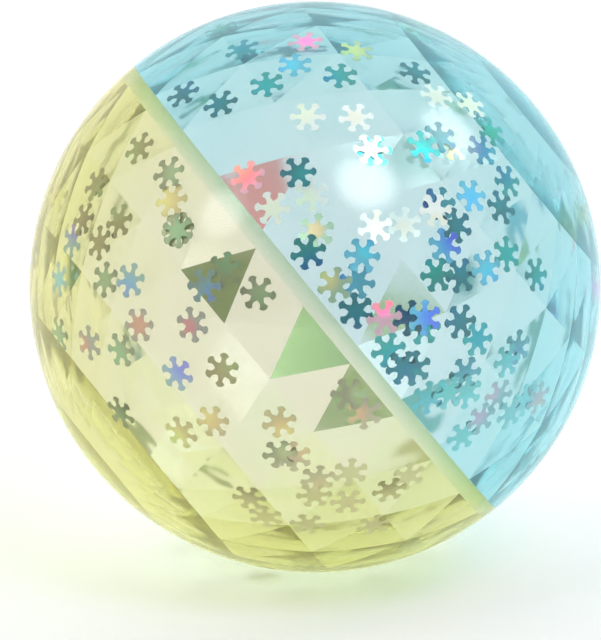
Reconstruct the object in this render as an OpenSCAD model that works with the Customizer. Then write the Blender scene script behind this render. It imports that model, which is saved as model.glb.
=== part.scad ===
// Bouncy ball of two clear tinted halves, with flat facets inside
// and snowflake glitter moulded into the wall

/* [Ball] */
// Outer diameter in millimetres
ball_d = 65; // [50:1:90]
// Wall at the corners of the facets
corner_wall = 1.5; // [1.4:0.1:3]
// Rise of the mould axis above the floor in degrees, blue half up
lean = 38; // [0:1:90]
// Turn of the ball about its mould axis in degrees
ball_turn = -108.5; // [-180:0.5:180]

/* [Facets] */
// Facets round each half
facet_count = 24; // [16:2:32]
// Rows of facets from the seam to the flat end
row_count = 4; // [2:1:4]
// Degrees of latitude that one row covers
row_angle = 18; // [12:1:20]
// Turn of the blue facets from the front of the ball
blue_turn = -0.5; // [-15:0.5:15]
// Turn of the yellow facets from the front of the ball
yellow_turn = 1.5; // [-15:0.5:15]

/* [Lap joint] */
// Height of the blue lip inside the yellow half
lip_h = 1.8; // [1:0.1:3]
// Thickness of the blue lip
lip_t = 0.7; // [0.4:0.05:0.8]
// Step from the corners of the facets out to the lip
lip_step = 0.05; // [0:0.05:0.2]
// Gap round the lip for the bond
bond_gap = 0.05; // [0.02:0.01:0.1]

/* [Glitter] */
// Flake from tip to tip
flake_d = 4; // [2:0.1:5]
// Thickness of a flake
flake_t = 0.1; // [0.05:0.01:0.12]
// Least rubber over and under a flake
flake_cover = 0.35; // [0.25:0.05:0.35]
// Layers of flakes in the wall
layer_count = 3; // [2:1:3]
// Flakes scattered in the whole blue half, of which the hidden ones are kept
blue_scatter = 80; // [40:10:120]
// Flakes scattered in the whole yellow half, of which the hidden ones are kept
yellow_scatter = 50; // [30:10:90]

/* [Hidden] */
$fn = 128;
overrun = 1;
ball_r = ball_d / 2;
corner_r = ball_r - corner_wall;
lip_in_r = corner_r + lip_step;
lip_out_r = lip_in_r + lip_t;
rebate_r = lip_out_r + bond_gap;
flake_r = flake_d / 2;
layer_step = (corner_wall - 2 * flake_cover - flake_t) / (layer_count - 1);

// The front flakes are placed as the eye sees them, this many radii away,
// with the blue pole tipped a little towards it
eye_far_share = 22;
eye_tip_angle = 0.9;

// One arm of the snowflake, in shares of its radius
arm_shares = [[0.66, -0.15], [0.82, -0.24], [1, 0], [0.82, 0.24], [0.66, 0.15]];
valley_share = 0.33;
arm_count = 6;

// Colours that the hidden glitter flashes, in turn
blue_flashes = ["teal", "slate", "pearl", "teal", "sky", "slate", "rose", "teal", "pearl", "gold"];
yellow_flashes = ["olive", "sage", "gold", "olive", "violet", "sage", "rose"];

// Front flakes of the blue half: share of the radius towards the blue pole,
// share down along the seam, turn of the flake, flash
blue_flake_shares = [
    [0.07, -0.82, 30, "slate"], [0.15, -0.71, 28, "slate"], [0.32, -0.66, 0, "teal"],
    [0.44, -0.65, 10, "sky"], [0.33, -0.81, 10, "teal"], [0.54, -0.52, 18, "teal"],
    [0.52, -0.69, 25, "rose"], [0.36, -0.48, 40, "pearl"], [0.49, -0.37, 28, "pearl"],
    [0.06, -0.45, 20, "rose"], [0.64, -0.55, 15, "gold"], [0.75, -0.36, 20, "slate"],
    [0.21, -0.35, 36, "slate"], [0.20, -0.26, 8, "pearl"], [0.04, -0.31, 45, "pearl"],
    [0.04, -0.11, 23, "teal"], [0.13, -0.15, 17, "gold"], [0.20, 0.02, 43, "sky"],
    [0.13, 0.08, 50, "sky"], [0.05, 0.04, 20, "gold"], [0.30, -0.03, 20, "pearl"],
    [0.50, 0.06, 33, "pearl"], [0.53, 0.05, 30, "slate"], [0.46, -0.25, 40, "pearl"],
    [0.47, -0.24, 33, "teal"], [0.39, 0.03, 15, "pearl"], [0.61, -0.14, 0, "teal"],
    [0.68, -0.13, 10, "slate"], [0.70, -0.08, 30, "gold"], [0.76, 0, 30, "slate"],
    [0.83, -0.15, 20, "pearl"], [0.76, -0.25, 40, "pearl"], [0.83, -0.03, 15, "teal"],
    [0.63, 0.10, 30, "sky"], [0.76, 0.14, 30, "teal"], [0.53, 0.15, 0, "slate"],
    [0.69, 0.20, 50, "slate"], [0.51, 0.33, 22, "sky"], [0.60, 0.34, 11, "teal"],
    [0.63, 0.46, 35, "teal"], [0.45, 0.18, 55, "sky"], [0.04, 0.16, 2, "slate"],
    [0.12, 0.24, 30, "rose"], [0.19, 0.30, 20, "slate"], [0.23, 0.33, 10, "sky"],
    [0.21, 0.36, 35, "teal"], [0.04, 0.42, 30, "slate"], [0.05, 0.34, 25, "teal"],
    [0.09, 0.39, 15, "slate"], [0.32, 0.42, 34, "slate"], [0.33, 0.51, 38, "teal"],
    [0.36, 0.24, 34, "teal"], [0.43, 0.30, 30, "slate"], [0.13, 0.59, 30, "teal"],
    [0.05, 0.56, 10, "teal"], [0.22, 0.58, 35, "slate"], [0.36, 0.63, 30, "teal"],
    [0.42, 0.62, 15, "slate"], [0.16, 0.73, 20, "rose"], [0.26, 0.71, 40, "rose"],
    [0.18, 0.68, 10, "teal"], [0.25, 0.78, 25, "slate"], [0.32, 0.78, 5, "teal"],
    [0.07, 0.74, 30, "teal"], [0.36, 0.80, 15, "rose"]
];

// Front flakes of the yellow half, whose shares from the seam are negative
yellow_flake_shares = [
    [-0.48, -0.70, 38, "olive"], [-0.49, -0.60, 5, "olive"], [-0.39, -0.62, 30, "olive"],
    [-0.37, -0.77, 30, "olive"], [-0.17, -0.77, 25, "olive"], [-0.12, -0.64, 30, "sage"],
    [-0.20, -0.56, 35, "gold"], [-0.25, -0.46, 0, "sage"], [-0.25, -0.47, 30, "sage"],
    [-0.49, -0.43, 30, "violet"], [-0.56, -0.49, 15, "sage"], [-0.56, -0.67, 10, "violet"],
    [-0.68, -0.59, 0, "violet"], [-0.80, -0.44, 40, "sage"], [-0.67, -0.26, 40, "sage"],
    [-0.57, -0.29, 35, "rose"], [-0.74, -0.35, 10, "rose"], [-0.81, -0.09, 0, "sage"],
    [-0.57, -0.07, 55, "violet"], [-0.69, 0.10, 55, "gold"], [-0.58, 0.14, 30, "gold"],
    [-0.42, -0.17, 58, "rose"], [-0.44, 0.02, 22, "olive"], [-0.30, -0.25, 40, "violet"],
    [-0.21, -0.25, 20, "sage"], [-0.17, -0.11, 48, "sage"], [-0.40, 0.29, 20, "gold"],
    [-0.14, 0.37, 41, "sage"], [-0.14, 0.46, 10, "rose"], [-0.47, 0.38, 30, "sage"],
    [-0.44, 0.42, 10, "rose"], [-0.42, 0.53, 20, "rose"], [-0.32, 0.59, 15, "sage"],
    [-0.47, 0.57, 35, "olive"], [-0.25, 0.72, 30, "olive"], [-0.17, 0.73, 10, "sage"],
    [-0.37, 0.78, 20, "olive"], [-0.39, 0.66, 40, "gold"], [-0.65, 0.43, 35, "olive"],
    [-0.65, 0.52, 10, "rose"], [-0.55, 0.63, 50, "olive"]
];

// Back flakes, which the flat facets in front of them enlarge like lenses
blue_back_shares = [[0.11, -0.43, 15, "rose"]];
yellow_back_shares = [
    [-0.25, -0.24, 20, "olive"], [-0.17, 0.17, 0, "sage"], [-0.17, 0.43, 10, "sage"]
];

// Spots of the back wall that are seen clear of flakes
clear_spot_shares = [
    [0.05, -0.13], [0.44, -0.51], [-0.44, -0.10], [-0.58, -0.15], [-0.22, 0.29], [-0.51, 0.37]
];

// Height from which each half's flakes start, as the sine of its latitude
blue_start = (flake_r + flake_cover) / ball_r;
yellow_start = (lip_h + flake_r + flake_cover) / ball_r;

// Direction at a share of the radius along the mould axis and an angle round it
function at_height(z, turn) = [sqrt(1 - z * z) * cos(turn), sqrt(1 - z * z) * sin(turn), z];

// Keeps a direction clear of the seam on its own side
function clear_of_seam(d, side, start) =
    let (z = side * max(side * d.z, start))
    at_height(z, atan2(d.y, d.x));

// Direction of what the eye sees at the shares u and v, on the front wall or,
// where the wall is -1, through the ball on the back one
function seen(u, v, wall = 1) =
    let (near = 1 - wall * sqrt(1 - u * u - v * v) / eye_far_share)
    let (across = near * u, down = near * v)
    let (front = wall * sqrt(1 - across * across - down * down))
    let (c = cos(eye_tip_angle), s = sin(eye_tip_angle))
    [front * c - across * s, down, across * c + front * s];

// True where no flake of a list lies within the reach of a direction
function is_free(d, flakes, reach) =
    len([for (f = flakes) if (norm(f[0] - d) < reach) f]) == 0;

// Flakes of one wall as rows of direction, turn and flash
function seen_flakes(shares, side, start, wall = 1) =
    [for (f = shares) [clear_of_seam(seen(f[0], f[1], wall), side, start), f[2], f[3]]];

// Flakes on a golden spiral with a little scatter, where the others leave room
golden_turn = 180 * (3 - sqrt(5));
scatter_share = 0.35;
pole_share = 0.9;
front_share = 0.3;
function hidden_flakes(taken, side, start, count, flashes, seed) =
    let (jitter = rands(-scatter_share, scatter_share, 2 * count, seed))
    [for (i = [0 : count - 1])
        let (z = start + (pole_share - start) * (i + 0.5 + jitter[2 * i]) / count)
        let (turn = golden_turn * (i + jitter[2 * i + 1] / 5))
        let (d = at_height(side * max(z, start), turn))
        if (d.x < front_share && is_free(d, taken, flake_d / ball_r))
            [d, i * golden_turn, flashes[i % len(flashes)]]];

// First layer where no earlier flake overlaps this one
function first_free_layer(d, placed, layer = 0) =
    layer == layer_count
    || len([for (p = placed) if (p[3] == layer && norm(p[0] - d) < flake_d / corner_r) p]) == 0
    ? layer : first_free_layer(d, placed, layer + 1);

// Direction slid round the mould axis, to one side and the other in turn, by flake radii
function slid(d, step) =
    let (side = step % 2 == 0 ? 1 : -1)
    let (angle = ceil(step / 2) * atan(flake_r / corner_r) / norm([d.x, d.y]))
    at_height(d.z, atan2(d.y, d.x) + side * angle);

// Puts each flake in the first free layer, and slides it where every layer is taken
function settled(f, placed, step = 0) =
    let (d = slid(f[0], step))
    let (layer = first_free_layer(d, placed))
    layer < layer_count ? [d, f[1], f[2], layer] : settled(f, placed, step + 1);
function layered(flakes, placed = []) =
    len(placed) == len(flakes) ? placed :
    layered(flakes, concat(placed, [settled(flakes[len(placed)], placed)]));

blue_seen = concat(seen_flakes(blue_flake_shares, 1, blue_start),
    seen_flakes(blue_back_shares, 1, blue_start, -1));
yellow_seen = concat(seen_flakes(yellow_flake_shares, -1, yellow_start),
    seen_flakes(yellow_back_shares, -1, yellow_start, -1));
clear_spots = [for (s = clear_spot_shares) [seen(s[0], s[1], -1)]];
blue_flakes = layered(concat(blue_seen, hidden_flakes(
    concat(blue_seen, clear_spots), 1, blue_start, blue_scatter, blue_flashes, 7)));
yellow_flakes = layered(concat(yellow_seen, hidden_flakes(
    concat(yellow_seen, clear_spots), -1, yellow_start, yellow_scatter, yellow_flashes, 3)));

// Turns the mould's frame, with its axis upright and its front along X, into the resting pose
module resting() {
    rotate([0, 90 - lean, 0])
        rotate([0, 0, ball_turn])
            children();
}

// Solid that forms the hollow of one half: rings of corners on a sphere,
// each turned by half a facet from the last, with a flat end
module core(base_h, turn) {
    base_angle = asin(base_h / corner_r);
    ring_angles = concat([base_angle], [for (row = [1 : row_count]) row * row_angle]);
    base_ring = [for (k = [0 : facet_count - 1])
        let (a = turn + k * 360 / facet_count)
        [corner_r * cos(base_angle) * cos(a), corner_r * cos(base_angle) * sin(a), base_h - overrun]];
    rings = [for (row = [0 : row_count]) for (k = [0 : facet_count - 1])
        let (a = turn + (k + (row % 2) / 2) * 360 / facet_count)
        corner_r * [cos(ring_angles[row]) * cos(a), cos(ring_angles[row]) * sin(a), sin(ring_angles[row])]];
    points = concat(base_ring, rings);
    function corner(ring, k) = ring * facet_count + (k % facet_count);
    bottom = [for (k = [0 : facet_count - 1]) corner(0, k)];
    top = [for (k = [0 : facet_count - 1]) corner(row_count + 1, facet_count - 1 - k)];
    skirt = [for (k = [0 : facet_count - 1])
        [corner(0, k), corner(1, k), corner(1, k + 1), corner(0, k + 1)]];
    facets = [for (row = [0 : row_count - 1]) for (k = [0 : facet_count - 1])
        let (low = row + 1, high = row + 2, shift = row % 2)
        each [
            [corner(low, k), corner(high, k + shift), corner(low, k + 1)],
            [corner(high, k), corner(high, k + 1), corner(low, k + 1 - shift)]
        ]];
    polyhedron(points, concat([bottom], [top], skirt, facets));
}

module snowflake_outline() {
    polygon([for (arm = [0 : arm_count - 1])
        let (a = arm * 360 / arm_count, v = a + 180 / arm_count)
        each concat(
            [for (p = arm_shares) flake_r * [p.x * cos(a) - p.y * sin(a), p.x * sin(a) + p.y * cos(a)]],
            [flake_r * valley_share * [cos(v), sin(v)]])]);
}

// One flake, laid under the surface in its direction and layer
module flake(f) {
    d = f[0];
    rotate(a = acos(d.x), v = [0, -d.z, d.y])
        translate([ball_r - flake_cover - f[3] * layer_step, 0, 0])
            rotate([0, -90, 0])
                rotate([0, 0, f[1]])
                    linear_extrude(flake_t)
                        snowflake_outline();
}

module flakes_of(flakes, flash) {
    for (f = flakes)
        if (f[2] == flash)
            flake(f);
}

module all_flakes(flakes) {
    for (f = flakes)
        flake(f);
}

module blue_half() {
    color([0.45, 0.85, 0.92, 0.5])
        resting()
            difference() {
                sphere(r = ball_r);
                core(0, blue_turn);
                // Below the seam only the lip is left
                difference() {
                    translate([0, 0, -ball_r - overrun])
                        cylinder(r = ball_r + overrun, h = ball_r + overrun);
                    translate([0, 0, -lip_h])
                        cylinder(r = lip_out_r, h = lip_h + overrun);
                }
                translate([0, 0, -lip_h - overrun])
                    cylinder(r = lip_in_r, h = lip_h + overrun);
                all_flakes(blue_flakes);
            }
}

module yellow_half() {
    color([0.93, 0.93, 0.45, 0.5])
        resting()
            difference() {
                sphere(r = ball_r);
                mirror([0, 0, 1])
                    core(lip_h, yellow_turn);
                cylinder(r = ball_r + overrun, h = ball_r + overrun);
                translate([0, 0, -lip_h])
                    cylinder(r = rebate_r, h = lip_h + overrun);
                all_flakes(yellow_flakes);
            }
}

module blue_teal_flakes() {
    color([0.15, 0.55, 0.58]) resting() flakes_of(blue_flakes, "teal");
}

module blue_slate_flakes() {
    color([0.12, 0.35, 0.38]) resting() flakes_of(blue_flakes, "slate");
}

module blue_sky_flakes() {
    color([0.25, 0.6, 0.85]) resting() flakes_of(blue_flakes, "sky");
}

module blue_pearl_flakes() {
    color([0.95, 0.95, 0.9]) resting() flakes_of(blue_flakes, "pearl");
}

module blue_rose_flakes() {
    color([0.9, 0.55, 0.6]) resting() flakes_of(blue_flakes, "rose");
}

module blue_gold_flakes() {
    color([0.9, 0.88, 0.5]) resting() flakes_of(blue_flakes, "gold");
}

module yellow_olive_flakes() {
    color([0.48, 0.47, 0.22]) resting() flakes_of(yellow_flakes, "olive");
}

module yellow_sage_flakes() {
    color([0.5, 0.55, 0.42]) resting() flakes_of(yellow_flakes, "sage");
}

module yellow_violet_flakes() {
    color([0.4, 0.45, 0.65]) resting() flakes_of(yellow_flakes, "violet");
}

module yellow_rose_flakes() {
    color([0.78, 0.5, 0.45]) resting() flakes_of(yellow_flakes, "rose");
}

module yellow_gold_flakes() {
    color([0.78, 0.72, 0.4]) resting() flakes_of(yellow_flakes, "gold");
}

blue_half();
yellow_half();
blue_teal_flakes();
blue_slate_flakes();
blue_sky_flakes();
blue_pearl_flakes();
blue_rose_flakes();
blue_gold_flakes();
yellow_olive_flakes();
yellow_sage_flakes();
yellow_violet_flakes();
yellow_rose_flakes();
yellow_gold_flakes();
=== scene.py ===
"""Bouncy ball of two clear tinted halves, dressed over its CAD frame.

Both rubber halves are made again as clear shells that share the CAD model's sizes,
and the snowflake glitter is set in them where the CAD flakes lie.
"""

import logging
import math
from dataclasses import dataclass
from enum import Enum
from typing import Any, Sequence

import bmesh
import bpy
from mathutils import Matrix, Vector


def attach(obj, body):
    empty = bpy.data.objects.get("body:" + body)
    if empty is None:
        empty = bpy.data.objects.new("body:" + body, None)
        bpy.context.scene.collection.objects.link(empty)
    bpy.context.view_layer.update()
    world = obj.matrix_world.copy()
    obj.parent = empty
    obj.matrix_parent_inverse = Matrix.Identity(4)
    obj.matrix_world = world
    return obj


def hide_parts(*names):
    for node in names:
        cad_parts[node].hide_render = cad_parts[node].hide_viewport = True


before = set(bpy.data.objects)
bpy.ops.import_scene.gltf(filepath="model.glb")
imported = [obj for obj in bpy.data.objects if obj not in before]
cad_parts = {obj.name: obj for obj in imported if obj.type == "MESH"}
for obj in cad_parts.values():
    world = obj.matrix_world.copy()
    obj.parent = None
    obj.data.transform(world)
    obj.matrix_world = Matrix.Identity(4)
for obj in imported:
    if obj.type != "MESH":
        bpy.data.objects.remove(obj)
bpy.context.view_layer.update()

BODY = "root"
MM = 0.001
WELD = MM / 1000
DIGITS = 6
TAU = 2 * math.pi
INNER_CREASE = math.radians(1.5)
OUTER_CREASE = math.radians(20)

NUMBER = "NodeSocketFloat"
COUNT = "NodeSocketInt"
VECTOR = "NodeSocketVector"
COLOUR = "NodeSocketColor"
SHAPE = "NodeSocketGeometry"
FINISH = "NodeSocketMaterial"
MIX_FIRST, MIX_SECOND, MIX_RESULT = 6, 7, 2

log = logging.getLogger("bouncy_ball")

Colour = tuple[float, float, float]
Node = bpy.types.Node
Socket = bpy.types.NodeSocket
Tree = bpy.types.NodeTree


class Half(Enum):
    """The two mouldings, with the side of the seam that each lies on."""

    BLUE = 1.0
    YELLOW = -1.0


class Wiring:
    """Adds nodes to one node tree and links them."""

    def __init__(self, tree: Tree) -> None:
        """Keeps the tree that is being wired.

        Args:
            tree: The tree that takes the nodes.
        """
        self.tree = tree

    def feed(self, socket: Socket, value: Any) -> None:
        """Gives an input its value or its link.

        Args:
            socket: The input.
            value: A number, a colour without alpha, a vector or another node's output.
        """
        if isinstance(value, Socket):
            self.tree.links.new(value, socket)
        elif socket.type == "RGBA":
            socket.default_value = (*value, 1.0)
        else:
            socket.default_value = value

    def add(self, kind: str, feeds: dict[str | int, Any] | None = None, **settings: Any) -> Node:
        """Adds one node.

        Args:
            kind: The node's Blender type name.
            feeds: Value or link of each input, by its name or number.
            settings: Properties of the node and their values.

        Returns:
            The new node.
        """
        node = self.tree.nodes.new(kind)
        for name, value in settings.items():
            setattr(node, name, value)
        for key, value in (feeds or {}).items():
            self.feed(node.inputs[key], value)
        return node

    def maths(self, operation: str, *terms: Any) -> Socket:
        """Adds one Math node and returns its socket."""
        return self.add("ShaderNodeMath", dict(enumerate(terms)), operation=operation).outputs[0]

    def measure(self, operation: str, *terms: Any) -> Socket:
        """Adds one Vector Math node that gives a number and returns its socket."""
        node = self.add("ShaderNodeVectorMath", dict(enumerate(terms)), operation=operation)
        return node.outputs["Value"]

    def vector(self, x: Any, y: Any, z: Any) -> Socket:
        """Joins three numbers into a vector and returns its socket."""
        return self.add("ShaderNodeCombineXYZ", {0: x, 1: y, 2: z}).outputs[0]

    def mix(self, factor: Any, first: Any, second: Any) -> Socket:
        """Mixes two colours and returns the socket of the mix."""
        feeds = {"Factor": factor, MIX_FIRST: first, MIX_SECOND: second}
        return self.add("ShaderNodeMix", feeds, data_type="RGBA").outputs[MIX_RESULT]

    def ramp(
        self, value: Any, start: Any, end: Any, low: Any, high: Any, kind: str = "SMOOTHSTEP"
    ) -> Socket:
        """Maps a number from one range to another.

        Args:
            value: The number.
            start: Where its range starts.
            end: Where its range ends.
            low: The result at the start.
            high: The result at the end.
            kind: The interpolation between them.

        Returns:
            The result's socket.
        """
        feeds = {"Value": value, "From Min": start, "From Max": end, "To Min": low, "To Max": high}
        return self.add("ShaderNodeMapRange", feeds, interpolation_type=kind).outputs["Result"]

    def pass_shadows(self, shader: Socket, share: float) -> Socket:
        """Lets shadow rays pass a shader.

        Args:
            shader: The shader.
            share: The share of the shadow rays that pass.

        Returns:
            The mixed shader's socket.
        """
        shadow = self.add("ShaderNodeLightPath").outputs["Is Shadow Ray"]
        factor = shadow if share == 1 else self.maths("MULTIPLY", shadow, share)
        clear = self.add("ShaderNodeBsdfTransparent").outputs["BSDF"]
        return self.add("ShaderNodeMixShader", {0: factor, 1: shader, 2: clear}).outputs[0]

    def absorb(self, tint: Colour, density: float) -> Socket:
        """Adds a volume that tints the light passing it and returns its socket."""
        feeds = {"Color": tint, "Density": density}
        return self.add("ShaderNodeVolumeAbsorption", feeds).outputs["Volume"]

    def dress(self, geometry: Socket, material: Socket, result: Node) -> None:
        """Ends a geometry tree: makes instances real and gives all faces one material.

        Args:
            geometry: The finished geometry.
            material: The material.
            result: The tree's output node.
        """
        realise = self.add("GeometryNodeRealizeInstances", {"Geometry": geometry})
        feeds = {"Geometry": realise.outputs[0], "Material": material}
        dressed = self.add("GeometryNodeSetMaterial", feeds)
        self.feed(result.inputs["Mesh"], dressed.outputs[0])


def new_tree(
    name: str,
    kind: str,
    inputs: Sequence[tuple[str, str, Any]],
    outputs: Sequence[tuple[str, str]],
) -> tuple[Wiring, Node, Node]:
    """Starts a node group with named sockets.

    Args:
        name: The group's name.
        kind: GeometryNodeTree or ShaderNodeTree.
        inputs: Name, socket type and default of each input, None for no default.
        outputs: Name and socket type of each output.

    Returns:
        The wiring, the group's input node and its output node.
    """
    tree = bpy.data.node_groups.new(name, kind)
    for label, socket_type, default in inputs:
        socket = tree.interface.new_socket(label, in_out="INPUT", socket_type=socket_type)
        if default is not None:
            socket.default_value = default
    for label, socket_type in outputs:
        tree.interface.new_socket(label, in_out="OUTPUT", socket_type=socket_type)
    wiring = Wiring(tree)
    return wiring, wiring.add("NodeGroupInput"), wiring.add("NodeGroupOutput")


def new_material(name: str) -> tuple[bpy.types.Material, Wiring, Node]:
    """Starts an empty material.

    Args:
        name: The material's name.

    Returns:
        The material, its wiring and its output node.
    """
    material = bpy.data.materials.new(name)
    material.use_nodes = True
    material.node_tree.nodes.clear()
    wiring = Wiring(material.node_tree)
    return material, wiring, wiring.add("ShaderNodeOutputMaterial")


def put_in_scene(thing: bpy.types.Object) -> None:
    """Links an object to the scene."""
    bpy.context.scene.collection.objects.link(thing)


def aim(thing: bpy.types.Object, place: Vector, towards: Vector) -> None:
    """Places a lamp or a camera and turns its front to a direction.

    Args:
        thing: The lamp or camera.
        place: Where it goes.
        towards: The direction that its front looks in.
    """
    thing.location = place
    thing.rotation_mode = "QUATERNION"
    thing.rotation_quaternion = towards.to_track_quat("-Z", "Y")


def set_inputs(modifier: bpy.types.NodesModifier, values: dict[str, Any]) -> None:
    """Sets a Geometry Nodes modifier's inputs by their sockets' identifiers.

    Args:
        modifier: The modifier.
        values: Value of each named input.
    """
    for item in modifier.node_group.interface.items_tree:
        if item.in_out == "INPUT" and item.name in values:
            modifier[item.identifier] = values[item.name]


def bake(start: bpy.types.Mesh, tree: Tree, values: dict[str, Any]) -> bpy.types.Mesh:
    """Runs a Geometry Nodes tree once and returns its result as a plain mesh.

    Args:
        start: The mesh that goes into the tree.
        tree: The tree.
        values: Value of each named input.

    Returns:
        The finished mesh, with the tree's material as its only one.
    """
    carrier = bpy.data.objects.new("carrier", start)
    put_in_scene(carrier)
    modifier = carrier.modifiers.new("nodes", "NODES")
    modifier.node_group = tree
    set_inputs(modifier, values)
    graph = bpy.context.evaluated_depsgraph_get()
    graph.update()
    mesh = bpy.data.meshes.new_from_object(carrier.evaluated_get(graph), depsgraph=graph)
    carrier.modifiers.remove(modifier)
    bpy.data.objects.remove(carrier)
    bpy.data.meshes.remove(start)
    material = mesh.materials[-1]
    mesh.materials.clear()
    mesh.materials.append(material)
    mesh.polygons.foreach_set("material_index", [0] * len(mesh.polygons))
    return mesh


def new_piece(name: str, mesh: bpy.types.Mesh) -> bpy.types.Object:
    """Puts a finished mesh into the scene as one piece at the origin.

    Args:
        name: The piece's name.
        mesh: Its mesh, already in place.

    Returns:
        The piece.
    """
    mesh.name = name
    piece = bpy.data.objects.new(name, mesh)
    put_in_scene(piece)
    triangles = sum(len(face.vertices) - 2 for face in mesh.polygons)
    log.info("%s: %d triangles", name, triangles)
    return piece


@dataclass(frozen=True)
class RubberFinish:
    """Clear tinted rubber: its tints through the wall and at the surface, haze and gloss."""

    name: str
    tint: Colour
    density: float
    edge_tint: Colour
    bloom_tint: Colour
    face_tint: Colour = (0.90, 0.89, 0.90)
    bloom: float = 0.6
    bloom_spread: float = 0.5
    edge_power: float = 1.5
    haze: float = 0.02
    inside_reach: float = 0.032
    inside_roughness: float = 0.05
    ior: float = 1.5
    smudge_low: float = 0.0
    smudge_high: float = 0.06
    smudge_scale: float = 90.0
    ripple_scale: float = 60.0
    ripple_height: float = 0.00002

    def material(self, surface_group: Tree) -> bpy.types.Material:
        """Makes the finish's material.

        Args:
            surface_group: The handled-surface group.

        Returns:
            The material, clear with absorption inside.
        """
        material, wiring, output = new_material(self.name)
        place = wiring.add("ShaderNodeTexCoord").outputs["Object"]
        surface = wiring.add(
            "ShaderNodeGroup",
            {
                "Place": place,
                "Low": self.smudge_low,
                "High": self.smudge_high,
                "Smudge Scale": self.smudge_scale,
                "Ripple Scale": self.ripple_scale,
            },
            node_tree=surface_group,
        ).outputs
        feeds = {"Distance": self.ripple_height, "Height": surface["Height"]}
        bump = wiring.add("ShaderNodeBump", feeds)
        inside = wiring.maths("LESS_THAN", wiring.measure("LENGTH", place), self.inside_reach)
        satin = wiring.maths("MULTIPLY", inside, self.inside_roughness)
        slant = wiring.add("ShaderNodeLayerWeight").outputs["Facing"]
        edge = wiring.maths("POWER", slant, self.edge_power)
        rubber = wiring.add(
            "ShaderNodeBsdfPrincipled",
            {
                "Base Color": wiring.mix(edge, self.face_tint, self.edge_tint),
                "Roughness": wiring.maths("ADD", surface["Roughness"], satin),
                "Normal": bump.outputs["Normal"],
                "Transmission Weight": 1.0 - self.haze,
                "IOR": self.ior,
                "Sheen Weight": self.bloom,
                "Sheen Roughness": self.bloom_spread,
                "Sheen Tint": self.bloom_tint,
            },
        )
        wiring.feed(output.inputs["Surface"], wiring.pass_shadows(rubber.outputs["BSDF"], 1.0))
        wiring.feed(output.inputs["Volume"], wiring.absorb(self.tint, self.density))
        return material


@dataclass(frozen=True)
class BondedFinish:
    """Tinted rubber bonded inside other rubber, which only adds its tint."""

    name: str
    tint: Colour
    density: float

    def material(self) -> bpy.types.Material:
        """Makes the finish's material.

        Returns:
            The material, with no surface of its own and absorption inside.
        """
        material, wiring, output = new_material(self.name)
        clear = wiring.add("ShaderNodeBsdfTransparent")
        wiring.feed(output.inputs["Surface"], clear.outputs["BSDF"])
        wiring.feed(output.inputs["Volume"], wiring.absorb(self.tint, self.density))
        return material


@dataclass(frozen=True)
class FilmFinish:
    """Holographic film: its colour, the flash that spots it, its chance seed, gloss and a painted
    emission at the flash.
    """

    name: str
    flakes: str
    body: Colour
    flash: Colour
    seed: int
    metallic: float = 0.9
    # Strength of the painted emission: the flash shines though the film is no lamp.
    glow: float = 0.0
    hue_drift: float = 0.12
    roughness: float = 0.22
    see_through: float = 0.75

    @property
    def slot(self) -> str:
        """A slot name made from the film's name, which no slot here takes."""
        return f"{self.name.lower()}_glitter"

    def material(self, film_group: Tree, painted_light: Colour, painted_light_side: Vector) -> bpy.types.Material:
        """Makes the finish's material.

        Args:
            film_group: The holographic film group.
            painted_light: The colour of the painted floor light that washes over the film low on the
                ball.
            painted_light_side: The way towards the painted floor light, so long that it gives shares of
                the radius.

        Returns:
            The material.
        """
        material, wiring, output = new_material(f"{self.name} film")
        across = wiring.add("ShaderNodeAttribute", attribute_name="flake_place")
        chance = wiring.add("ShaderNodeAttribute", attribute_name="flake_chance")
        film = wiring.add(
            "ShaderNodeGroup",
            {
                "Across": across.outputs["Vector"],
                "Chance": chance.outputs["Vector"],
                "Body": self.body,
                "Flash": self.flash,
                "Hue Drift": self.hue_drift,
                "Place": wiring.add("ShaderNodeTexCoord").outputs["Object"],
                "Painted Light Side": painted_light_side,
                "Pale": painted_light,
            },
            node_tree=film_group,
        ).outputs
        # The emission is painted light at the flash.
        shader = wiring.add(
            "ShaderNodeBsdfPrincipled",
            {
                "Base Color": film["Colour"],
                "Metallic": self.metallic,
                "Roughness": self.roughness,
                "Emission Color": film["Glow"],
                "Emission Strength": self.glow,
            },
        )
        surface = wiring.pass_shadows(shader.outputs["BSDF"], self.see_through)
        wiring.feed(output.inputs["Surface"], surface)
        return material


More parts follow.
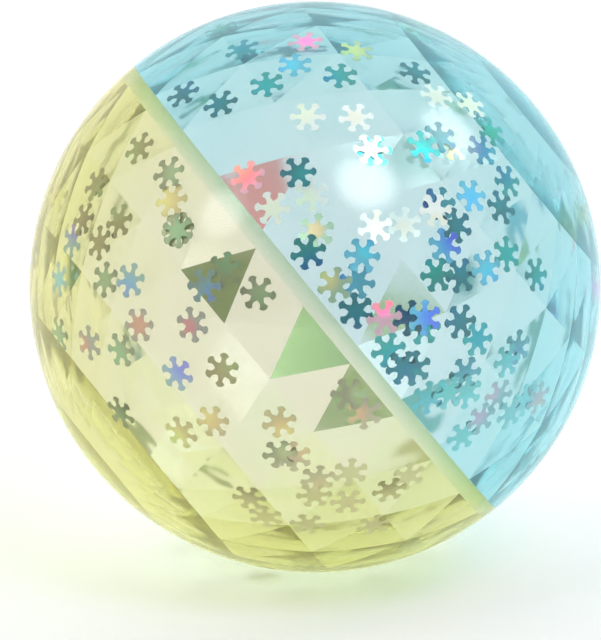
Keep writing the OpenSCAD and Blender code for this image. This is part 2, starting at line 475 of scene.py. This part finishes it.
@dataclass
class SharedEffects:
    """Shader node groups that several finishes use, each built once."""

    smudge_detail: float = 4.0
    smudge_start: float = 0.45
    smudge_end: float = 0.75
    ripple_detail: float = 1.0
    spot_reach: float = 0.7
    flash_core: float = 0.2
    flash_least: float = 0.7
    flash_range: float = 0.8
    mean_chance: float = 0.5
    same_hue: float = 0.5
    # Painted floor light: where it starts and ends across the ball and how much of the film it covers.
    painted_light_start: float = 0.36
    painted_light_end: float = 0.62
    painted_light_share: float = 0.75

    def __post_init__(self) -> None:
        """Builds the groups."""
        self.surface = self._handled_surface()
        self.film = self._holographic_film()

    def _handled_surface(self) -> Tree:
        """Builds the smudges and ripples of a moulded surface.

        Returns:
            The group.
        """
        wiring, given, result = new_tree(
            "Handled surface",
            "ShaderNodeTree",
            [
                ("Place", VECTOR, None),
                ("Low", NUMBER, 0.0),
                ("High", NUMBER, 0.1),
                ("Smudge Scale", NUMBER, 90.0),
                ("Ripple Scale", NUMBER, 60.0),
            ],
            [("Roughness", NUMBER), ("Height", NUMBER)],
        )
        ask = given.outputs
        smudge, ripple = (
            wiring.add("ShaderNodeTexNoise", {"Vector": ask["Place"], "Scale": scale, "Detail": detail})
            for scale, detail in (
                (ask["Smudge Scale"], self.smudge_detail),
                (ask["Ripple Scale"], self.ripple_detail),
            )
        )
        spread = wiring.ramp(
            smudge.outputs["Fac"], self.smudge_start, self.smudge_end, ask["Low"], ask["High"], "LINEAR"
        )
        wiring.feed(result.inputs["Roughness"], spread)
        wiring.feed(result.inputs["Height"], ripple.outputs["Fac"])
        return wiring.tree

    def _holographic_film(self) -> Tree:
        """Builds the film's colour, with painted floor light washed over it low on the ball, and its
        painted emission.

        A flash round a chance spot fades into the body's colour.

        Returns:
            The group.
        """
        wiring, given, result = new_tree(
            "Holographic film",
            "ShaderNodeTree",
            [
                ("Across", VECTOR, None),
                ("Chance", VECTOR, None),
                ("Body", COLOUR, (0.5, 0.5, 0.5, 1.0)),
                ("Flash", COLOUR, (1.0, 1.0, 1.0, 1.0)),
                ("Hue Drift", NUMBER, 0.05),
                ("Place", VECTOR, None),
                ("Painted Light Side", VECTOR, None),
                ("Pale", COLOUR, (0.8, 0.8, 0.8, 1.0)),
            ],
            [("Colour", COLOUR), ("Glow", COLOUR)],
        )
        m = wiring.maths
        ask = given.outputs
        chance = wiring.add("ShaderNodeSeparateXYZ", {0: ask["Chance"]}).outputs
        turn = m("MULTIPLY", chance["X"], TAU)
        off = m("MULTIPLY", chance["Y"], self.spot_reach)
        beside = m("MULTIPLY", m("COSINE", turn), off)
        above = m("MULTIPLY", m("SINE", turn), off)
        spot = wiring.vector(beside, above, 0.0)
        away = wiring.measure("DISTANCE", ask["Across"], spot)
        reach = m("ADD", m("MULTIPLY", chance["Z"], self.flash_range), self.flash_least)
        fade = wiring.ramp(away, self.flash_core, reach, 1.0, 0.0)
        along = wiring.measure("DOT_PRODUCT", ask["Across"], spot)
        drift = m("ADD", along, m("SUBTRACT", chance["Z"], self.mean_chance))
        hue = m("ADD", m("MULTIPLY", drift, ask["Hue Drift"]), self.same_hue)
        tone = wiring.add("ShaderNodeHueSaturation", {"Color": ask["Flash"], "Hue": hue})
        flash = tone.outputs["Color"]
        # Painted light: flakes low on the ball, towards the bright floor, are washed lighter as if the
        # floor lit them.
        low = wiring.measure("DOT_PRODUCT", ask["Place"], ask["Painted Light Side"])
        painted_light_cover = wiring.ramp(low, self.painted_light_start, self.painted_light_end, 0.0, self.painted_light_share)
        film = wiring.mix(fade, ask["Body"], flash)
        wiring.feed(result.inputs["Colour"], wiring.mix(painted_light_cover, film, ask["Pale"]))
        # Painted emission: the flash shines from within, less where the painted floor light lies over
        # it.
        lit = m("MULTIPLY", fade, m("SUBTRACT", 1.0, painted_light_cover))
        wiring.feed(result.inputs["Glow"], wiring.mix(lit, (0.0, 0.0, 0.0), flash))
        return wiring.tree


@dataclass
class Ball:
    """Sizes that the whole ball shares, in millimetres and degrees."""

    radius: float = 32.5
    corner_wall: float = 1.5
    lean: float = 38.0
    turn: float = -108.5
    facets: int = 24
    rows: int = 4
    row_angle: float = 18.0
    lip_height: float = 1.8
    lip_thickness: float = 0.7
    lip_step: float = 0.05
    seam_gap: float = 0.02
    skin: float = 0.5
    overrun: float = 1.0
    segments: int = 256

    @property
    def corner_radius(self) -> float:
        """Radius on which the facets' corners lie."""
        return self.radius - self.corner_wall

    @property
    def pose(self) -> Matrix:
        """From the mould's frame in millimetres to the resting ball in metres."""
        tip = Matrix.Rotation(math.radians(90 - self.lean), 4, "Y")
        turn = Matrix.Rotation(math.radians(self.turn), 4, "Z")
        return tip @ turn @ Matrix.Scale(MM, 4)

    def sizes(self, turn: float) -> dict[str, float | int]:
        """Names the sizes that the rubber pieces' trees take.

        Args:
            turn: Turn of the piece's facets in degrees.

        Returns:
            Value of each named input, in millimetres and radians.
        """
        lip_inner = self.corner_radius + self.lip_step
        return {
            "Ball Radius": self.radius,
            "Corner Radius": self.corner_radius,
            "Facets": self.facets,
            "Rows": self.rows,
            "Row Angle": math.radians(self.row_angle),
            "First Turn": math.radians(turn),
            "Lip Height": self.lip_height,
            "Lip Inner Radius": lip_inner,
            "Lip Outer Radius": lip_inner + self.lip_thickness,
            "Seam Gap": self.seam_gap,
            "Skin": self.skin,
            "Overrun": self.overrun,
            "Segments": self.segments,
        }


class PieceTree(Wiring):
    """Geometry Nodes tree of one rubber piece, with the steps that the pieces share."""

    def __init__(self, name: str, sizes: dict[str, float | int]) -> None:
        """Starts the tree.

        Args:
            name: The tree's name.
            sizes: Default of each named input.
        """
        kinds = {label: COUNT if isinstance(size, int) else NUMBER for label, size in sizes.items()}
        inputs = [(label, kinds[label], size) for label, size in sizes.items()]
        inputs = [("Mesh", SHAPE, None), *inputs, ("Rubber", FINISH, None)]
        wiring, given, self.result = new_tree(name, "GeometryNodeTree", inputs, [("Mesh", SHAPE)])
        super().__init__(wiring.tree)
        self.size = given.outputs

    @property
    def beyond(self) -> Socket:
        """A length that reaches past the ball's skin."""
        return self.maths("ADD", self.size["Ball Radius"], self.size["Overrun"])

    def sphere(self) -> Socket:
        """Adds the whole ball's sphere.

        Returns:
            The sphere's mesh socket.
        """
        count = self.size["Segments"]
        rings = self.maths("DIVIDE", count, 2.0)
        feeds = {"Segments": count, "Rings": rings, "Radius": self.size["Ball Radius"]}
        return self.add("GeometryNodeMeshUVSphere", feeds).outputs["Mesh"]

    def hollow(self, group: Tree, half: Half, base: Any) -> Socket:
        """Adds the solid that forms a half's hollow.

        Args:
            group: The hollow's group.
            half: The half.
            base: How far from the seam the hollow starts.

        Returns:
            The solid's mesh socket.
        """
        shared = ("Corner Radius", "Facets", "Rows", "Row Angle", "First Turn", "Overrun")
        feeds = {label: self.size[label] for label in shared}
        feeds.update({"Side": half.value, "Base Height": base})
        return self.add("GeometryNodeGroup", feeds, node_tree=group).outputs["Mesh"]

    def cutter(self, group: Tree, radius: Any, low: Any, high: Any) -> Socket:
        """Adds one round cutter and returns its mesh socket."""
        feeds = {"Radius": radius, "Low": low, "High": high, "Segments": self.size["Segments"]}
        return self.add("GeometryNodeGroup", feeds, node_tree=group).outputs["Mesh"]

    def difference(self, whole: Socket, cuts: Sequence[Socket]) -> Socket:
        """Cuts solids from another with the exact solver.

        Args:
            whole: The solid that is cut.
            cuts: The solids taken away.

        Returns:
            The result's mesh socket.
        """
        feeds = {"Mesh 1": whole}
        node = self.add("GeometryNodeMeshBoolean", feeds, operation="DIFFERENCE", solver="EXACT")
        for cut in cuts:
            self.feed(node.inputs["Mesh 2"], cut)
        return node.outputs["Mesh"]

    def finish(self, solid: Socket) -> Tree:
        """Ends the tree: one shading for all faces, creases at facets and rims, rubber on all.

        Args:
            solid: The cut solid.

        Returns:
            The finished tree.
        """
        m = self.maths
        feeds = {"Geometry": solid, "Shade Smooth": True}
        smooth = self.add("GeometryNodeSetShadeSmooth", feeds, domain="FACE")
        bend = self.add("GeometryNodeInputMeshEdgeAngle").outputs["Unsigned Angle"]
        reach = self.measure("LENGTH", self.add("GeometryNodeInputPosition").outputs[0])
        skin = m("SUBTRACT", self.size["Ball Radius"], self.size["Skin"])
        outside = m("GREATER_THAN", reach, skin)
        limit = m("MULTIPLY_ADD", outside, OUTER_CREASE - INNER_CREASE, INNER_CREASE)
        sharp = m("GREATER_THAN", bend, limit)
        feeds = {"Geometry": smooth.outputs[0], "Selection": sharp, "Shade Smooth": False}
        crease = self.add("GeometryNodeSetShadeSmooth", feeds, domain="EDGE")
        self.dress(crease.outputs[0], self.size["Rubber"], self.result)
        return self.tree


@dataclass
class RubberHalves:
    """The blue half with its lip and the yellow half with its rebate."""

    ball: Ball
    blue_turn: float = -0.5
    yellow_turn: float = 1.5
    blue_finish: RubberFinish = RubberFinish(
        "Clear blue rubber", (0.0, 0.87, 0.925), 82.0, (0.32, 0.88, 0.97), (0.35, 0.78, 0.88)
    )
    yellow_finish: RubberFinish = RubberFinish(
        "Clear yellow rubber", (0.84, 0.84, 0.0), 84.0, (0.95, 0.93, 0.22), (0.85, 0.80, 0.30)
    )
    lip_finish: BondedFinish = BondedFinish("Bonded blue rubber", (0.10, 0.62, 0.46), 620.0)

    def build(self, effects: SharedEffects) -> None:
        """Builds and dresses both halves.

        Args:
            effects: The shared shader groups.
        """
        hollow = self._hollow_tree()
        cutter = self._cutter_tree()
        blue = self._blue_tree(hollow, cutter)
        yellow = self._yellow_tree(hollow, cutter)
        lip = self._lip_tree(cutter)
        blue_rubber = self.blue_finish.material(effects.surface)
        yellow_rubber = self.yellow_finish.material(effects.surface)
        self._piece("blue_shell", Half.BLUE, blue, self.blue_turn, blue_rubber)
        self._piece("yellow_shell", Half.YELLOW, yellow, self.yellow_turn, yellow_rubber)
        self._piece("blue_lip", Half.BLUE, lip, self.blue_turn, self.lip_finish.material())

    def _piece(
        self, name: str, half: Half, tree: Tree, turn: float, rubber: bpy.types.Material
    ) -> None:
        """Builds one piece from its tree and puts it in its half's place.

        Args:
            name: The piece's name.
            half: The half that it belongs to.
            tree: Its Geometry Nodes tree.
            turn: Turn of its facets in degrees.
            rubber: Its material.
        """
        values = {**self.ball.sizes(turn), "Rubber": rubber}
        mesh = bake(bpy.data.meshes.new("start"), tree, values)
        mesh.transform(self.ball.pose)
        piece = new_piece(name, mesh)
        colour = half.name.lower()
        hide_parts(f"{colour}_half")
        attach(piece, BODY)

    def _hollow_tree(self) -> Tree:
        """Builds the solid that forms one half's hollow: the hull of its rings of corners.

        Returns:
            The group.
        """
        wiring, given, result = new_tree(
            "Faceted hollow",
            "GeometryNodeTree",
            [
                ("Corner Radius", NUMBER, 31.0),
                ("Base Height", NUMBER, 0.0),
                ("Side", NUMBER, 1.0),
                ("Facets", COUNT, 24),
                ("Rows", COUNT, 4),
                ("Row Angle", NUMBER, 0.3),
                ("First Turn", NUMBER, 0.0),
                ("Overrun", NUMBER, 1.0),
            ],
            [("Mesh", SHAPE)],
        )
        m = wiring.maths
        ask = given.outputs
        index = wiring.add("GeometryNodeInputIndex").outputs[0]
        ring = m("FLOOR", m("DIVIDE", index, ask["Facets"]))
        place = m("SUBTRACT", index, m("MULTIPLY", ring, ask["Facets"]))
        row = m("MAXIMUM", m("SUBTRACT", ring, 1.0), 0.0)
        base = m("ARCSINE", m("DIVIDE", ask["Base Height"], ask["Corner Radius"]))
        latitude = m("MAXIMUM", base, m("MULTIPLY", row, ask["Row Angle"]))
        half_step = m("MULTIPLY", m("MODULO", row, 2.0), 0.5)
        step = m("DIVIDE", TAU, ask["Facets"])
        angle = m("ADD", ask["First Turn"], m("MULTIPLY", m("ADD", place, half_step), step))
        level = m("MULTIPLY", ask["Corner Radius"], m("COSINE", latitude))
        skirt = m("MULTIPLY", m("LESS_THAN", ring, 0.5), ask["Overrun"])
        height = m("SUBTRACT", m("MULTIPLY", ask["Corner Radius"], m("SINE", latitude)), skirt)
        corner = wiring.vector(
            m("MULTIPLY", level, m("COSINE", angle)),
            m("MULTIPLY", level, m("SINE", angle)),
            m("MULTIPLY", height, ask["Side"]),
        )
        count = m("MULTIPLY", ask["Facets"], m("ADD", ask["Rows"], 2.0))
        points = wiring.add("GeometryNodePoints", {"Count": count, "Position": corner})
        hull = wiring.add("GeometryNodeConvexHull", {0: points.outputs[0]})
        wiring.feed(result.inputs["Mesh"], hull.outputs[0])
        return wiring.tree

    def _cutter_tree(self) -> Tree:
        """Builds a cylinder about the mould axis between two heights.

        Returns:
            The group.
        """
        wiring, given, result = new_tree(
            "Round cutter",
            "GeometryNodeTree",
            [
                ("Radius", NUMBER, 1.0),
                ("Low", NUMBER, 0.0),
                ("High", NUMBER, 1.0),
                ("Segments", COUNT, 64),
            ],
            [("Mesh", SHAPE)],
        )
        m = wiring.maths
        ask = given.outputs
        depth = m("SUBTRACT", ask["High"], ask["Low"])
        feeds = {"Vertices": ask["Segments"], "Radius": ask["Radius"], "Depth": depth}
        cylinder = wiring.add("GeometryNodeMeshCylinder", feeds, fill_type="NGON")
        middle = m("MULTIPLY", m("ADD", ask["High"], ask["Low"]), 0.5)
        place = wiring.vector(0.0, 0.0, middle)
        feeds = {"Geometry": cylinder.outputs["Mesh"], "Translation": place}
        move = wiring.add("GeometryNodeTransform", feeds)
        wiring.feed(result.inputs["Mesh"], move.outputs[0])
        return wiring.tree

    def _blue_tree(self, hollow: Tree, cutter: Tree) -> Tree:
        """Builds the tree of the blue half above the seam.

        Args:
            hollow: The hollow's group.
            cutter: The round cutter's group.

        Returns:
            The tree.
        """
        tree = PieceTree("Blue half", self.ball.sizes(self.blue_turn))
        core = tree.hollow(hollow, Half.BLUE, 0.0)
        beyond = tree.beyond
        below = tree.cutter(cutter, beyond, tree.maths("MULTIPLY", beyond, -1.0), 0.0)
        return tree.finish(tree.difference(tree.sphere(), [core, below]))

    def _yellow_tree(self, hollow: Tree, cutter: Tree) -> Tree:
        """Builds the yellow half's tree, with the joint's bore.

        Args:
            hollow: The hollow's group.
            cutter: The round cutter's group.

        Returns:
            The tree.
        """
        tree = PieceTree("Yellow half", self.ball.sizes(self.yellow_turn))
        m, size = tree.maths, tree.size
        core = tree.hollow(hollow, Half.YELLOW, size["Lip Height"])
        beyond = tree.beyond
        above = tree.cutter(cutter, beyond, m("MULTIPLY", size["Seam Gap"], -1.0), beyond)
        end = m("MULTIPLY", size["Lip Height"], -1.0)
        bore = tree.cutter(cutter, size["Lip Inner Radius"], end, size["Overrun"])
        return tree.finish(tree.difference(tree.sphere(), [core, above, bore]))

    def _lip_tree(self, cutter: Tree) -> Tree:
        """Builds the tree of the blue lip, a ring that the yellow half holds.

        The ring's inside tapers towards its low end.

        Args:
            cutter: The round cutter's group.

        Returns:
            The tree.
        """
        tree = PieceTree("Blue lip", self.ball.sizes(self.blue_turn))
        m, size = tree.maths, tree.size
        gap = size["Seam Gap"]
        twice = m("MULTIPLY", gap, 2.0)
        low = m("SUBTRACT", gap, size["Lip Height"])
        high = m("MULTIPLY", twice, -1.0)
        ring = tree.cutter(cutter, size["Lip Outer Radius"], low, high)
        feeds = {
            "Vertices": size["Segments"],
            "Radius Bottom": m("SUBTRACT", size["Lip Outer Radius"], twice),
            "Radius Top": m("ADD", size["Lip Inner Radius"], gap),
            "Depth": m("MULTIPLY", low, -1.0),
        }
        cone = tree.add("GeometryNodeMeshCone", feeds, fill_type="NGON").outputs["Mesh"]
        feeds = {"Geometry": cone, "Translation": tree.vector(0.0, 0.0, low)}
        inside = tree.add("GeometryNodeTransform", feeds).outputs[0]
        return tree.finish(tree.difference(ring, [inside]))


@dataclass
class Glitter:
    """Snowflake flakes, set where the CAD flakes lie, one piece for each CAD node."""

    ball: Ball
    width: float = 4.0
    thickness: float = 0.06
    valley_share: float = 0.40
    arms: int = 6
    arm: tuple[tuple[float, float], ...] = (
        (0.58, -0.12), (0.72, -0.16), (0.84, -0.27), (1.0, -0.10),
        (1.0, 0.10), (0.84, 0.27), (0.72, 0.16), (0.58, 0.12),
    )
    tilt: float = 0.05
    tilt_seed_step: float = 100.0
    first_arm: tuple[float, float, float] = (0.83, 0.29, 0.47)
    # Painted floor light: the way towards the floor and the colour that it washes over each half's
    # flakes.
    painted_light_side: tuple[float, float, float] = (0.40, -0.31, -0.86)
    blue_painted_light: Colour = (0.34, 0.80, 0.82)
    yellow_painted_light: Colour = (0.80, 0.78, 0.50)
    films: tuple[FilmFinish, ...] = (
        FilmFinish("Teal", "blue_teal", (0.06, 0.42, 0.40), (0.02, 0.52, 0.47), 5),
        FilmFinish("Slate", "blue_slate", (0.03, 0.21, 0.25), (0.02, 0.27, 0.33), 6),
        FilmFinish("Sky", "blue_sky", (0.16, 0.60, 0.78), (0.12, 0.64, 1.0), 7, 0.7),
        # This film's near-white colour is a painted reflection of the key soft box.
        FilmFinish("Pearl", "blue_pearl", (1.0, 0.98, 0.94), (1.0, 0.96, 0.78), 8, 0.1),
        # The rose film's flash shines with painted emission.
        FilmFinish("Rose", "blue_rose", (0.85, 0.52, 0.60), (1.0, 0.20, 0.38), 24, 0.1, 0.65),
        FilmFinish("Gold", "blue_gold", (0.50, 0.72, 0.50), (0.95, 0.90, 0.40), 10, 0.6),
        FilmFinish("Olive", "yellow_olive", (0.33, 0.32, 0.16), (0.42, 0.43, 0.19), 36),
        FilmFinish("Sage", "yellow_sage", (0.30, 0.34, 0.22), (0.38, 0.54, 0.31), 22),
        FilmFinish("Violet", "yellow_violet", (0.36, 0.54, 0.52), (0.28, 0.50, 0.80), 13),
        FilmFinish("Coral", "yellow_rose", (0.38, 0.40, 0.36), (0.66, 0.40, 0.30), 14),
        FilmFinish("Tan", "yellow_gold", (0.62, 0.58, 0.32), (0.86, 0.70, 0.34), 15, 0.6),
    )

    def build(self, effects: SharedEffects) -> None:
        """Builds and dresses every flake piece.

        Args:
            effects: The shared shader groups.
        """
        tree = self._tree()
        painted_light_side = Vector(self.painted_light_side) / (self.ball.radius * MM)
        for film in self.films:
            node = f"{film.flakes}_flakes"
            painted_light = self.blue_painted_light if node.startswith("blue") else self.yellow_painted_light
            places = self._places(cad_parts[node])
            values = {
                "Thickness": self.thickness * MM,
                "Tilt": self.tilt,
                "Seed": film.seed,
                "Film": film.material(effects.film, painted_light, painted_light_side),
            }
            mesh = bake(places, tree, values)
            piece = new_piece(f"{film.flakes}_glitter", mesh)
            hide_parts(node)
            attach(piece, BODY)

    def _places(self, cad: bpy.types.Object) -> bpy.types.Mesh:
        """Reads each flake's centre, facing and first arm from a CAD node.

        A flake's arms are alike, so its first is the one that points most along first_arm.

        Args:
            cad: The CAD node, whose loose solids are the flakes.

        Returns:
            A mesh of one point for each flake, with its facing and arm as attributes.
        """
        shape = bmesh.new()
        shape.from_mesh(cad.data)
        bmesh.ops.remove_doubles(shape, verts=shape.verts, dist=WELD)
        left = set(shape.verts)
        centres: list[Vector] = []
        facings: list[Vector] = []
        tips: list[Vector] = []
        for start in shape.verts:
            if start not in left:
                continue
            left.remove(start)
            group = [start]
            for vert in group:
                for edge in vert.link_edges:
                    other = edge.other_vert(vert)
                    if other in left:
                        left.remove(other)
                        group.append(other)
            centre = sum((vert.co for vert in group), Vector()) / len(group)
            area = Vector()
            for face in dict.fromkeys(face for vert in group for face in vert.link_faces):
                side = face.normal * face.calc_area()
                area += side if side.dot(centre) > 0 else -side
            facing = area.normalized()
            reach = max((vert.co - centre for vert in group), key=self._reach)
            centres.append(centre)
            facings.append(facing)
            tips.append((reach - facing * reach.dot(facing)).normalized())
        shape.free()
        order = sorted(
            range(len(centres)), key=lambda i: tuple(round(c, DIGITS) for c in centres[i])
        )
        mesh = bpy.data.meshes.new("places")
        mesh.from_pydata([centres[i] for i in order], [], [])
        for name, rows in (("facing", facings), ("tip", tips)):
            attribute = mesh.attributes.new(name, "FLOAT_VECTOR", "POINT")
            attribute.data.foreach_set("vector", [c for i in order for c in rows[i]])
        return mesh

    def _reach(self, way: Vector) -> tuple[float, float]:
        """Ranks a corner by its way from the centre: by length, then along the first arm."""
        return round(way.length, DIGITS), round(way.dot(Vector(self.first_arm)), DIGITS)

    def _outline(self) -> bpy.types.Mesh:
        """Makes one flat snowflake.

        Returns:
            The mesh of its face.
        """
        points = []
        radius = self.width / 2 * MM
        for arm in range(self.arms):
            angle = arm * TAU / self.arms
            for along, beside in self.arm:
                points.append((
                    radius * (along * math.cos(angle) - beside * math.sin(angle)),
                    radius * (along * math.sin(angle) + beside * math.cos(angle)),
                    0.0,
                ))
            valley = angle + math.pi / self.arms
            reach = radius * self.valley_share
            points.append((reach * math.cos(valley), reach * math.sin(valley), 0.0))
        mesh = bpy.data.meshes.new("snowflake")
        mesh.from_pydata(points, [], [tuple(range(len(points)))])
        return mesh

    def _solid_flake(self, wiring: Wiring, thickness: Socket) -> Socket:
        """Makes the solid snowflake, with each point's place across it as an attribute.

        Args:
            wiring: The tree's wiring.
            thickness: The flake's thickness.

        Returns:
            The snowflake's mesh socket.
        """
        source = wiring.add("GeometryNodeObjectInfo")
        source.inputs["Object"].default_value = bpy.data.objects.new("snowflake", self._outline())
        position = wiring.add("GeometryNodeInputPosition").outputs[0]
        feeds = {0: position, "Scale": 2.0 / (self.width * MM)}
        shares = wiring.add("ShaderNodeVectorMath", feeds, operation="SCALE")
        feeds = {
            "Geometry": source.outputs["Geometry"],
            "Name": "flake_place",
            "Value": shares.outputs[0],
        }
        face = wiring.add(
            "GeometryNodeStoreNamedAttribute", feeds, data_type="FLOAT_VECTOR", domain="POINT"
        ).outputs[0]
        feeds = {"Mesh": face, "Offset Scale": thickness, "Individual": False}
        front = wiring.add("GeometryNodeExtrudeMesh", feeds, mode="FACES").outputs["Mesh"]
        back = wiring.add("GeometryNodeFlipFaces", {0: face}).outputs[0]
        join = wiring.add("GeometryNodeJoinGeometry")
        for part in (front, back):
            wiring.feed(join.inputs[0], part)
        feeds = {"Geometry": join.outputs[0], "Distance": WELD}
        return wiring.add("GeometryNodeMergeByDistance", feeds).outputs[0]

    def _tree(self) -> Tree:
        """Builds the tree that sets one snowflake on every place, a little out of true.

        Returns:
            The tree.
        """
        wiring, given, result = new_tree(
            "Set flakes",
            "GeometryNodeTree",
            [
                ("Places", SHAPE, None),
                ("Thickness", NUMBER, 0.0001),
                ("Tilt", NUMBER, 0.05),
                ("Seed", COUNT, 0),
                ("Film", FINISH, None),
            ],
            [("Mesh", SHAPE)],
        )
        ask = given.outputs
        flake = self._solid_flake(wiring, ask["Thickness"])
        facing, tip = (
            wiring.add("GeometryNodeInputNamedAttribute", {"Name": name}, data_type="FLOAT_VECTOR")
            for name in ("facing", "tip")
        )
        seed = wiring.maths("ADD", ask["Seed"], self.tilt_seed_step)
        feeds = {"Min": (-1.0, -1.0, -1.0), "Seed": seed}
        lean = wiring.add("FunctionNodeRandomValue", feeds, data_type="FLOAT_VECTOR")
        feeds = {0: lean.outputs[0], 1: ask["Tilt"], 2: facing.outputs["Attribute"]}
        tilted = wiring.add("ShaderNodeVectorMath", feeds, operation="MULTIPLY_ADD")
        feeds = {0: tilted.outputs[0], 1: tip.outputs["Attribute"]}
        turn = wiring.add(
            "FunctionNodeAxesToRotation", feeds, primary_axis="Z", secondary_axis="X"
        )
        feeds = {"Points": ask["Places"], "Instance": flake, "Rotation": turn.outputs[0]}
        spread = wiring.add("GeometryNodeInstanceOnPoints", feeds)
        chance = wiring.add(
            "FunctionNodeRandomValue", {"Seed": ask["Seed"]}, data_type="FLOAT_VECTOR"
        )
        feeds = {
            "Geometry": spread.outputs[0],
            "Name": "flake_chance",
            "Value": chance.outputs[0],
        }
        mark = wiring.add(
            "GeometryNodeStoreNamedAttribute", feeds, data_type="FLOAT_VECTOR", domain="INSTANCE"
        )
        wiring.dress(mark.outputs[0], ask["Film"], result)
        return wiring.tree


@dataclass(frozen=True)
class SoftBox:
    """A round soft box: its direction as right, up and towards the eye, and its light."""

    name: str
    towards: tuple[float, float, float]
    away: float
    size: float
    brightness: float
    core: float = 0.35
    rim: float = 0.5

    def build(self, right: Vector, up: Vector, back: Vector) -> None:
        """Hangs the soft box, facing the ball and fading towards its rim.

        Args:
            right: The picture's right.
            up: The picture's up.
            back: The way from the ball to the camera.
        """
        across, above, near = self.towards
        direction = (right * across + up * above + back * near).normalized()
        data = bpy.data.lights.new(self.name, "AREA")
        data.shape = "DISK"
        data.size = self.size
        data.energy = self.brightness * math.pi * math.pi * self.size**2 / 4
        data.use_nodes = True
        wiring = Wiring(data.node_tree)
        place = wiring.add("ShaderNodeNewGeometry").outputs["Parametric"]
        off = wiring.measure("DISTANCE", place, (self.rim, self.rim, 0.0))
        fade = wiring.ramp(off, self.core * self.rim, self.rim, 1.0, 0.0)
        wiring.feed(data.node_tree.nodes["Emission"].inputs["Strength"], fade)
        lamp = bpy.data.objects.new(self.name, data)
        aim(lamp, direction * self.away, -direction)
        put_in_scene(lamp)


@dataclass
class Studio:
    """Camera, floor and soft light, in metres and degrees."""

    ball: Ball
    azimuth: float = -10.9
    elevation: float = 15.0
    radii_away: float = 22.0
    frame_height: float = 640.0
    ball_pixels: float = 285.5
    ball_right: float = 14.5
    ball_above: float = 33.0
    sensor: float = 36.0
    nearest: float = 0.01
    farthest: float = 50.0
    floor_size: float = 8.0
    floor_grey: float = 0.96
    floor_roughness: float = 0.7
    room_bright: float = 0.88
    room_dark: float = 0.40
    dim_start: float = 0.35
    dim_end: float = 0.85
    clear_bounces: int = 32
    floor_bounces: int = 4
    lamps: tuple[SoftBox, ...] = (
        SoftBox("key", (0.321, 0.655, 0.682), 3.0, 1.6, 8.0),
        SoftBox("fill", (-0.577, 0.461, 0.674), 3.0, 1.3, 4.0),
        SoftBox("side", (0.66, 0.75, 0.0), 3.0, 1.4, 4.6),
    )

    @property
    def back(self) -> Vector:
        """The way from the ball to the camera."""
        azimuth, elevation = math.radians(self.azimuth), math.radians(self.elevation)
        level = math.cos(elevation)
        return Vector((
            math.sin(azimuth) * level, -math.cos(azimuth) * level, math.sin(elevation)
        ))

    @property
    def right(self) -> Vector:
        """The picture's right."""
        return Vector((0.0, 0.0, 1.0)).cross(self.back).normalized()

    @property
    def up(self) -> Vector:
        """The picture's up."""
        return self.back.cross(self.right)

    def build(self) -> None:
        """Builds the camera, the floor, the world, the lamps and the light's settings."""
        radius = self.ball.radius * MM
        self._camera(radius)
        self._floor(radius)
        self._world()
        for lamp in self.lamps:
            lamp.build(self.right, self.up, self.back)
        self._settings()

    def _camera(self, radius: float) -> None:
        """Places the camera at the photograph's viewing angle.

        Args:
            radius: The ball's radius.
        """
        distance = radius * self.radii_away
        focal = self.ball_pixels / math.tan(math.asin(1 / self.radii_away))
        middle = -(self.right * self.ball_right + self.up * self.ball_above) * distance / focal
        data = bpy.data.cameras.new("camera")
        data.sensor_width = self.sensor
        data.lens = focal / self.frame_height * self.sensor
        data.clip_start, data.clip_end = self.nearest, self.farthest
        camera = bpy.data.objects.new("camera", data)
        place = self.back * distance
        aim(camera, place, middle - place)
        put_in_scene(camera)
        bpy.context.scene.camera = camera

    def _floor(self, radius: float) -> None:
        """Lays the plain white floor under the ball.

        Args:
            radius: The ball's radius.
        """
        half = self.floor_size / 2
        mesh = bpy.data.meshes.new("floor")
        corners = [(x * half, y * half, -radius) for x, y in ((-1, -1), (1, -1), (1, 1), (-1, 1))]
        mesh.from_pydata(corners, [], [(0, 1, 2, 3)])
        material = bpy.data.materials.new("White table")
        material.use_nodes = True
        wiring = Wiring(material.node_tree)
        shader = material.node_tree.nodes["Principled BSDF"]
        wiring.feed(shader.inputs["Base Color"], (self.floor_grey,) * 3)
        wiring.feed(shader.inputs["Roughness"], self.floor_roughness)
        mesh.materials.append(material)
        floor = bpy.data.objects.new("floor", mesh)
        put_in_scene(floor)

    def _world(self) -> None:
        """Lights the scene from all round, less from the dim side of the room."""
        world = bpy.data.worlds.new("studio")
        world.use_nodes = True
        wiring = Wiring(world.node_tree)
        way = wiring.add("ShaderNodeTexCoord").outputs["Generated"]
        towards = wiring.measure("DOT_PRODUCT", way, self.back)
        fade = wiring.ramp(
            towards, self.dim_start, self.dim_end, self.room_bright, self.room_dark
        )
        background = world.node_tree.nodes["Background"]
        wiring.feed(background.inputs["Color"], (1.0, 1.0, 1.0))
        wiring.feed(background.inputs["Strength"], fade)
        bpy.context.scene.world = world

    def _settings(self) -> None:
        """Lets light pass the many clear surfaces."""
        scene = bpy.context.scene
        scene.view_settings.view_transform = "Standard"
        scene.cycles.max_bounces = self.clear_bounces
        scene.cycles.transmission_bounces = self.clear_bounces
        scene.cycles.transparent_max_bounces = self.clear_bounces
        scene.cycles.glossy_bounces = self.clear_bounces
        scene.cycles.diffuse_bounces = self.floor_bounces
        scene.cycles.use_denoising = True


def main() -> None:
    """Builds the studio and the ball in order."""
    logging.basicConfig(level=logging.INFO, format="%(name)s: %(message)s")
    ball = Ball()
    effects = SharedEffects()
    Studio(ball).build()
    RubberHalves(ball).build(effects)
    Glitter(ball).build(effects)


if __name__ == "__main__":
    main()
